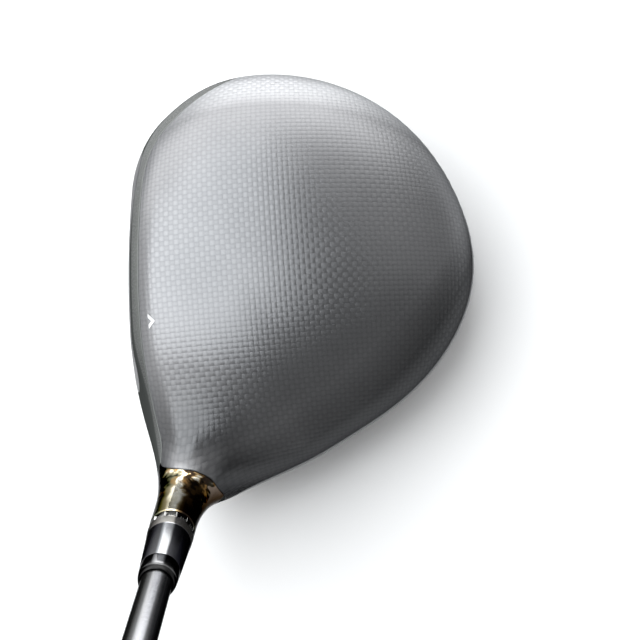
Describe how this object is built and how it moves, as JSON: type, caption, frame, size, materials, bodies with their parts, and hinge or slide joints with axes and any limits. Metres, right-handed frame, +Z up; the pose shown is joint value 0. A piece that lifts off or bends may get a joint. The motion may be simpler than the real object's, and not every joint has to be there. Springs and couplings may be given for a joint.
{
  "type": "golf driver",
  "caption": "Golf driver: hollow mallet-shaped head with woven crown, adjustable sleeve held by a sole screw, movable sole weights, tapered shaft and rubber grip.",
  "frame": {"origin": "on the ground, at the middle of the flat on the sole that the head rests on", "axes": "+Z up at address; face towards -X; toe towards +Y; the shaft leans up towards -Y at a lie of 58 degrees"},
  "size_m": [0.1112, 0.7256, 0.9913],
  "materials": {
    "polished_titanium": "polished",
    "face_carbon": "satin woven",
    "crown_carbon": "satin woven",
    "sole_carbon": "gloss woven",
    "ring_aluminium": "satin",
    "slot_rubber": "matte",
    "rib_carbon": "matte",
    "port_titanium": "satin",
    "retainer_nylon": "matte",
    "weight_steel": "turned",
    "screw_steel": "black oxide",
    "washer_steel": "bright",
    "sleeve_aluminium": "gloss black anodised",
    "insert_brass": "turned",
    "ferrule_plastic": "gloss",
    "shaft_graphite": "gloss metallic paint",
    "plug_cork": "raw",
    "grip_tape_paper": "matte",
    "grip_rubber": "textured"
  },
  "bodies": {
    "head": {"front_collar": "polished_titanium", "face_plate": "face_carbon", "crown_panel": "crown_carbon", "sole_panel": "sole_carbon", "rear_ring": "ring_aluminium", "pocket_insert": "slot_rubber", "sound_rib": "rib_carbon", "front_weight_port": "port_titanium", "rear_weight_port": "port_titanium", "screw_retainer": "retainer_nylon"},
    "shaft_assembly": {"loft_sleeve": "sleeve_aluminium", "sleeve_insert": "insert_brass", "ferrule": "ferrule_plastic", "shaft": "shaft_graphite", "tip_plug": "plug_cork", "grip_tape": "grip_tape_paper", "grip": "grip_rubber"},
    "screw_washer": {"screw_washer": "washer_steel"},
    "hosel_screw": {"hosel_screw": "screw_steel"},
    "front_weight": {"front_weight": "weight_steel"},
    "front_weight_screw": {"front_weight_screw": "screw_steel"},
    "rear_weight": {"rear_weight": "weight_steel"},
    "rear_weight_screw": {"rear_weight_screw": "screw_steel"}
  },
  "joints": [
    {"name": "shaft_pull", "type": "slide", "parent": "head", "child": "shaft_assembly", "axis": [0, -0.5299, 0.848], "range_m": [0, 0.045]},
    {"name": "hosel_screw_travel", "type": "slide", "parent": "head", "child": "screw_washer", "axis": [0, 0.5299, -0.848], "range_m": [0, 0.0068]},
    {"name": "hosel_screw_turn", "type": "hinge", "parent": "screw_washer", "child": "hosel_screw", "pos_m": [-0.0175, -0.0509, 0.02544], "axis": [0, 0.5299, -0.848], "range_deg": [0, 3063]},
    {"name": "front_weight_travel", "type": "slide", "parent": "head", "child": "front_weight", "axis": [-0.1081, 0.0408, -0.9933], "range_m": [0, 0.0048]},
    {"name": "front_weight_turn", "type": "hinge", "parent": "front_weight", "child": "front_weight_screw", "pos_m": [-0.021, 0.004, 0.00003], "axis": [-0.1081, 0.0408, -0.9933], "range_deg": [0, 2163]},
    {"name": "rear_weight_travel", "type": "slide", "parent": "head", "child": "rear_weight", "axis": [0.6637, -0.0416, -0.7469], "range_m": [0, 0.0048]},
    {"name": "rear_weight_turn", "type": "hinge", "parent": "rear_weight", "child": "rear_weight_screw", "pos_m": [0.06275, 0, 0.0188], "axis": [0.6637, -0.0416, -0.7469], "range_deg": [0, 2163]}
  ],
  "couplings": [
    {"joint": "hosel_screw_turn", "follows": "hosel_screw_travel", "rad_per_m": 7854},
    {"joint": "front_weight_turn", "follows": "front_weight_travel", "rad_per_m": 7854},
    {"joint": "rear_weight_turn", "follows": "rear_weight_travel", "rad_per_m": 7854}
  ]
}
